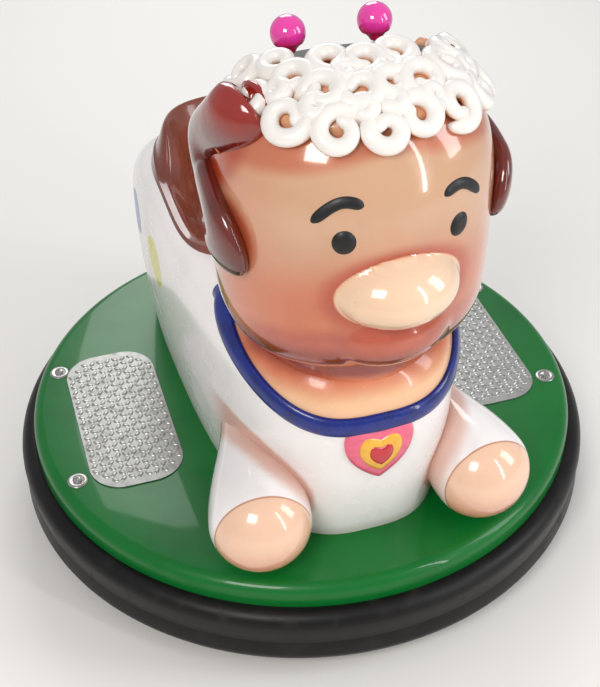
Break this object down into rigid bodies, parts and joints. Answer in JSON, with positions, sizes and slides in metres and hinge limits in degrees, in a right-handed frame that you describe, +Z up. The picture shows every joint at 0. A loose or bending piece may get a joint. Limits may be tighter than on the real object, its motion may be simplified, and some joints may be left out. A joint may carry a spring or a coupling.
{
  "type": "kiddie ride machine",
  "caption": "Round battery-driven bumper ride for small children: a hollow animal-shaped seat body with two control levers on a disc deck with a rubber bumper ring.",
  "frame": {"origin": "centre of the round base, on the floor", "axes": "+Z up, -Y the way the animal faces and the ride drives, +X to the animal's left"},
  "size_m": [1.12, 1.12, 1.0756],
  "materials": {
    "deck_gelcoat": "glossy green gelcoat",
    "plywood": "bare plywood",
    "dark_steel": "black paint",
    "bumper_rubber": "black rubber",
    "zinc": "zinc plated",
    "tread_aluminium": "five-bar tread plate",
    "white_gelcoat": "glossy white gelcoat with airbrushed shading",
    "peach_gelcoat": "glossy peach gelcoat",
    "blue_gelcoat": "glossy blue gelcoat",
    "pink_gelcoat": "glossy pink, yellow and red gelcoat",
    "brown_gelcoat": "glossy red-brown gelcoat",
    "face_gelcoat": "glossy tan gelcoat with airbrushed face",
    "ear_gelcoat": "glossy dark red-brown gelcoat",
    "ivory_gelcoat": "glossy ivory gelcoat",
    "black_plastic": "black moulded plastic",
    "bright_steel": "bright steel",
    "pink_knob": "glossy pink",
    "green_plastic": "glossy green",
    "key_brass": "brass",
    "battery_case": "battery case",
    "controller_blue": "blue anodised case",
    "red_plastic": "red cap",
    "motor_paint": "dark enamel",
    "cast_alloy": "cast alloy",
    "bronze": "sintered bronze",
    "gear_steel": "machined steel",
    "tyre_rubber": "black tyre",
    "caster_rubber": "grey rubber"
  },
  "bodies": {
    "root": {"deck": "deck_gelcoat", "deck_core": "plywood", "rim_band": "dark_steel", "bumper_ring": "bumper_rubber", "chassis_frame": "dark_steel", "deck_bolts": "zinc", "footplate_left": "tread_aluminium", "footplate_right": "tread_aluminium", "body_shell": "white_gelcoat", "neck_ring": "peach_gelcoat", "collar_band": "blue_gelcoat", "heart_pendant": "pink_gelcoat", "leg_left": "white_gelcoat", "leg_right": "white_gelcoat", "seat_shell": "brown_gelcoat", "head_shell": "face_gelcoat", "ear_left": "ear_gelcoat", "ear_right": "ear_gelcoat", "fringe_curls": "ivory_gelcoat", "console_panel": "black_plastic", "lever_sockets": "black_plastic", "start_bezel": "bright_steel", "key_barrel": "bright_steel", "coin_slot": "bright_steel", "speaker_grille": "black_plastic", "battery_pack": "battery_case", "battery_tray": "dark_steel", "motor_controller": "controller_blue", "hatch_frame": "black_plastic", "charge_socket": "black_plastic", "motor_left": "motor_paint", "motor_right": "motor_paint", "gearbox_left": "cast_alloy", "gearbox_right": "cast_alloy", "axle_bushes": "bronze", "caster_plates": "zinc"},
    "lever_l": {"lever_left": "bright_steel", "knob_left": "pink_knob"},
    "lever_r": {"lever_right": "bright_steel", "knob_right": "pink_knob"},
    "start": {"start_button": "green_plastic"},
    "key": {"key_switch": "key_brass"},
    "hatch": {"hatch_door": "black_plastic", "hatch_knob": "bright_steel"},
    "cap": {"charge_cap": "red_plastic"},
    "drive_l": {"axle_left": "bright_steel", "axle_gear_left": "gear_steel", "wheel_hub_left": "cast_alloy", "tyre_left": "tyre_rubber"},
    "drive_r": {"axle_right": "bright_steel", "axle_gear_right": "gear_steel", "wheel_hub_right": "cast_alloy", "tyre_right": "tyre_rubber"},
    "pinion_l": {"pinion_left": "gear_steel"},
    "pinion_r": {"pinion_right": "gear_steel"},
    "caster_f": {"caster_fork_front": "zinc"},
    "caster_fw": {"caster_wheel_front": "caster_rubber"},
    "caster_r": {"caster_fork_rear": "zinc"},
    "caster_rw": {"caster_wheel_rear": "caster_rubber"}
  },
  "joints": [
    {"name": "lever_left_tilt", "type": "hinge", "parent": "root", "child": "lever_l", "pos_m": [-0.0665, -0.212, 1.003], "axis": [1, 0, 0], "range_deg": [-18, 18], "stiffness_Nm_per_rad": 1.5},
    {"name": "lever_right_tilt", "type": "hinge", "parent": "root", "child": "lever_r", "pos_m": [0.0665, -0.212, 1.003], "axis": [1, 0, 0], "range_deg": [-18, 18], "stiffness_Nm_per_rad": 1.5},
    {"name": "start_press", "type": "slide", "parent": "root", "child": "start", "axis": [0, -0.2756, -0.9613], "range_m": [0, 0.003], "stiffness_N_per_m": 600},
    {"name": "key_turn", "type": "hinge", "parent": "root", "child": "key", "pos_m": [0, -0.23123, 1.00851], "axis": [0, 0.2756, 0.9613], "range_deg": [0, 90]},
    {"name": "hatch_swing", "type": "hinge", "parent": "root", "child": "hatch", "pos_m": [-0.112, 0.50075, 0.337], "axis": [0, 0, 1], "range_deg": [0, 110]},
    {"name": "cap_flip", "type": "hinge", "parent": "root", "child": "cap", "pos_m": [0.134, 0.50375, 0.358], "axis": [1, 0, 0], "range_deg": [0, 110]},
    {"name": "drive_left_spin", "type": "hinge", "parent": "root", "child": "drive_l", "pos_m": [-0.332, 0, 0.075], "axis": [1, 0, 0], "continuous": true},
    {"name": "pinion_left_spin", "type": "hinge", "parent": "root", "child": "pinion_l", "pos_m": [-0.249, -0.06, 0.075], "axis": [1, 0, 0], "continuous": true},
    {"name": "drive_right_spin", "type": "hinge", "parent": "root", "child": "drive_r", "pos_m": [0.332, 0, 0.075], "axis": [1, 0, 0], "continuous": true},
    {"name": "pinion_right_spin", "type": "hinge", "parent": "root", "child": "pinion_r", "pos_m": [0.249, -0.06, 0.075], "axis": [1, 0, 0], "continuous": true},
    {"name": "caster_front_swivel", "type": "hinge", "parent": "root", "child": "caster_f", "pos_m": [0, -0.4, 0.136], "axis": [0, 0, 1], "continuous": true},
    {"name": "caster_front_roll", "type": "hinge", "parent": "caster_f", "child": "caster_fw", "pos_m": [0, -0.37, 0.05], "axis": [1, 0, 0], "continuous": true},
    {"name": "caster_rear_swivel", "type": "hinge", "parent": "root", "child": "caster_r", "pos_m": [0, 0.4, 0.136], "axis": [0, 0, 1], "continuous": true},
    {"name": "caster_rear_roll", "type": "hinge", "parent": "caster_r", "child": "caster_rw", "pos_m": [0, 0.43, 0.05], "axis": [1, 0, 0], "continuous": true}
  ],
  "couplings": [
    {"joint": "pinion_left_spin", "follows": "drive_left_spin", "ratio": -3},
    {"joint": "pinion_right_spin", "follows": "drive_right_spin", "ratio": -3}
  ]
}
